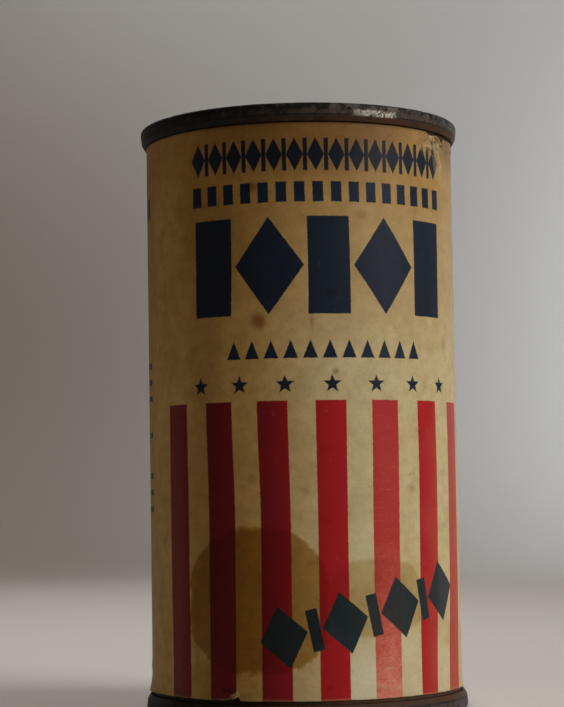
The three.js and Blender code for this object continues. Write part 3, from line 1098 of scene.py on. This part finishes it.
def label_mesh(sizes, material):
    """The paper as a closed sheet: a fine outer face, a coarser inner one, and the edges between."""
    angles = label_angles(sizes)
    count = len(angles)
    foot, top = paper_edges(angles, sizes)
    vertices, wear_and_light, crease_and_edge_shade, starts = [], [], [], []

    def add_ring(share, inside):
        up = foot + (top - foot) * share
        lift, rubbed_and_lit, relief_shade = paper_relief(angles, up, sizes)
        edge_rubbed, edge_shade = edge_marks(angles, up, foot, top, sizes)
        reach = sizes.radius / MM + lift
        if inside:
            reach = reach - sizes.paper / MM - lap_height(angles, sizes)
        starts.append(len(vertices))
        turn = np.radians(angles)
        for x, y, z in zip(reach * np.sin(turn), -reach * np.cos(turn), up):
            vertices.append((x * MM, y * MM, z * MM))
        wear_and_light.extend(np.clip(rubbed_and_lit + edge_rubbed, 0, 1) * (not inside))
        crease_and_edge_shade.extend(np.clip(relief_shade + edge_shade, 0, 1))

    for share in label_levels(coarse=1.0, fine=0.28):
        add_ring(share, inside=False)
    for share in label_levels(coarse=6.0, fine=1.4)[::-1]:
        add_ring(share, inside=True)
    faces = []
    for low, high in zip(starts, starts[1:] + starts[:1]):
        faces += ring_faces(low, high, count)
    label = mesh_object("label", vertices, faces, material, sharp_angle=50.0)
    for name, values in (("wear_and_light", wear_and_light), ("crease_and_edge_shade", crease_and_edge_shade)):
        attribute = label.data.attributes.new(name, "FLOAT", "POINT")
        attribute.data.foreach_set("value", [float(v) for v in values])
    return label


# The operators


class TIN_OT_wall(bpy.types.Operator):
    """Give the tin's wall its dull, rusted tinplate"""

    bl_idname = "tin.wall"
    bl_label = "Finish Tin Wall"

    def execute(self, context):
        scene = context.scene
        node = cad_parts["tin_body"]
        if not node.material_slots:
            raise RuntimeError("the tin's wall has no material slot")
        material = rusted_tinplate(scene.tin_colours, scene.tin_end_sizes, SEAM_HIGH.z)
        node.material_slots[0].material = material
        return {"FINISHED"}


class TIN_OT_ends(bpy.types.Operator):
    """Build the top and bottom ends with their rolled seams"""

    bl_idname = "tin.ends"
    bl_label = "Build Tin Ends"

    def execute(self, context):
        scene = context.scene
        sizes = scene.tin_end_sizes
        material = rusted_tinplate(scene.tin_colours, sizes, SEAM_HIGH.z)
        top = turned("top_seam_and_panel", sizes, lambda depth: SEAM_HIGH.z - depth, material, False)
        bottom = turned("bottom_seam_and_panel", sizes, lambda depth: depth, material, True)
        for piece, node in ((top, "top_end"), (bottom, "bottom_end")):
            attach(piece, "root")
            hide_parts(node)
        return {"FINISHED"}


class TIN_OT_label(bpy.types.Operator):
    """Build the printed paper label, with its lap, creases, tears and stains"""

    bl_idname = "tin.label"
    bl_label = "Build Paper Label"

    def execute(self, context):
        scene = context.scene
        sizes = scene.tin_label_sizes
        material = aged_coated_paper(scene.tin_colours, sizes, scene.tin_label_print)
        label = label_mesh(sizes, material)
        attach(label, "root")
        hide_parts("paper_label")
        return {"FINISHED"}


# Directions and spreads in degrees, sizes in metres. The two last light the backdrop behind the tin.
Light = namedtuple("Light", "name azimuth elevation distance width height watts tint target spread")
MIDDLE = (0.0, 0.0, SEAM_HIGH.z / 2)
LIGHTS = [
    Light("key", 55.0, 26.0, 1.15, 0.7, 0.8, 1.7, (1.0, 1.0, 1.0), MIDDLE, 60.0),
    Light("back", 178.0, 38.0, 1.1, 0.6, 0.6, 0.75, (1.0, 1.0, 1.0), MIDDLE, 70.0),
    Light("backdrop", 128.0, 38.0, 1.2, 0.6, 0.6, 3.3, (0.84, 0.92, 1.0), (0.8, 0.95, 0.12), 90.0),
    Light("upper backdrop", 165.0, 50.0, 1.1, 0.5, 0.4, 0.42, (0.9, 0.95, 1.0), (0.2, 1.3, 0.64), 70.0),
]


def area_light(light):
    """A soft rectangular light that faces a point, placed by its direction from the tin's foot."""
    turn, rise = math.radians(light.azimuth), math.radians(light.elevation)
    away = Vector((math.sin(turn) * math.cos(rise), -math.cos(turn) * math.cos(rise), math.sin(rise)))
    data = bpy.data.lights.new(light.name, "AREA")
    data.shape = "RECTANGLE"
    data.size, data.size_y = light.width, light.height
    data.energy = light.watts
    data.color = light.tint
    data.spread = math.radians(light.spread)
    lamp = bpy.data.objects.new(light.name, data)
    bpy.context.scene.collection.objects.link(lamp)
    lamp.location = away * light.distance
    lamp.rotation_euler = (lamp.location - Vector(light.target)).to_track_quat("Z", "Y").to_euler()
    lamp.visible_camera = False


class TIN_OT_stage(bpy.types.Operator):
    """Set up the pale floor and backdrop, the soft lights and the camera"""

    bl_idname = "tin.stage"
    bl_label = "Set Up Stage"

    def execute(self, context):
        scene = context.scene
        self.sweep(scene)
        self.lights(scene)
        self.camera(scene)
        scene.view_settings.view_transform = "Standard"
        return {"FINISHED"}

    def sweep(self, scene):
        """A round floor that curves up into a wall on every side."""
        flat, wall, height, steps, rings, bend_rings = 0.75, 1.3, 1.9, 96, 10, 16
        bend = wall - flat
        profile = [(i * flat / rings, 0.0) for i in range(1, rings + 1)]
        for i in range(1, bend_rings + 1):
            turn = math.pi / 2 * i / bend_rings
            profile.append((flat + bend * math.sin(turn), bend * (1 - math.cos(turn))))
        profile.append((wall, height))
        vertices = [(0.0, 0.0, 0.0)]
        for radius, up in profile:
            for i in range(steps):
                turn = 2 * math.pi * i / steps
                vertices.append((radius * math.cos(turn), radius * math.sin(turn), up))
        faces = [(0, 1 + i, 1 + (i + 1) % steps) for i in range(steps)]
        for ring in range(len(profile) - 1):
            faces += ring_faces(1 + ring * steps, 1 + (ring + 1) * steps, steps)
        material = seamless_paper(scene.tin_colours)
        floor = mesh_object("floor_sweep", vertices, faces, material, sharp_angle=60.0)
        floor.visible_shadow = False

    def lights(self, scene):
        """A wide window-like light at the right, a weak one from behind, two for the backdrop, and a
        faint warm glow from all sides."""
        for light in LIGHTS:
            area_light(light)
        world = bpy.data.worlds.new("studio")
        scene.world = world
        world.use_nodes = True
        glow = world.node_tree.nodes["Background"]
        fill(world.node_tree, glow, {"Color": (1.0, 0.56, 0.26), "Strength": 0.185})

    def camera(self, scene):
        """The camera stands a little to the left of the label's middle and looks slightly up."""
        turn_left, distance, height = math.radians(9.92), 0.4362, 0.04517
        heading, pitch, roll = math.radians(9.36), math.radians(3.99), math.radians(-0.93)
        data = bpy.data.cameras.new("camera")
        data.lens = 103.17
        data.sensor_width = 36.0
        data.clip_start = 0.01
        camera = bpy.data.objects.new("camera", data)
        scene.collection.objects.link(camera)
        across, back = -distance * math.sin(turn_left), -distance * math.cos(turn_left)
        place = Matrix.Translation((across, back, height))
        aim = Matrix.Rotation(-heading, 4, "Z") @ Matrix.Rotation(math.pi / 2 + pitch, 4, "X")
        camera.matrix_world = place @ aim @ Matrix.Rotation(roll, 4, "Z")
        scene.camera = camera


class TIN_PT_panel(bpy.types.Panel):
    """Lists the tin's pieces and their sizes"""

    bl_idname = "TIN_PT_panel"
    bl_label = "Milk Powder Tin"
    bl_space_type = "VIEW_3D"
    bl_region_type = "UI"
    bl_category = "Tin"

    def draw(self, context):
        layout = self.layout
        scene = context.scene
        for operator in OPERATORS:
            layout.operator(operator.bl_idname)
        for group in (getattr(scene, name) for name in GROUPS):
            box = layout.box()
            for name in group.bl_rna.properties.keys():
                if name not in ("rna_type", "name"):
                    box.prop(group, name)


GROUPS = {
    "tin_end_sizes": TinEndSizes,
    "tin_label_sizes": TinLabelSizes,
    "tin_label_print": TinLabelPrint,
    "tin_colours": TinColours,
}
OPERATORS = (TIN_OT_wall, TIN_OT_ends, TIN_OT_label, TIN_OT_stage)
CLASSES = (*GROUPS.values(), *OPERATORS, TIN_PT_panel)


def register():
    for cls in CLASSES:
        bpy.utils.register_class(cls)
    for name, group in GROUPS.items():
        setattr(bpy.types.Scene, name, PointerProperty(type=group))


def unregister():
    for name in GROUPS:
        delattr(bpy.types.Scene, name)
    for cls in reversed(CLASSES):
        bpy.utils.unregister_class(cls)


def main():
    register()
    bpy.ops.tin.wall()
    bpy.ops.tin.ends()
    bpy.ops.tin.label()
    bpy.ops.tin.stage()


if __name__ == "__main__":
    main()
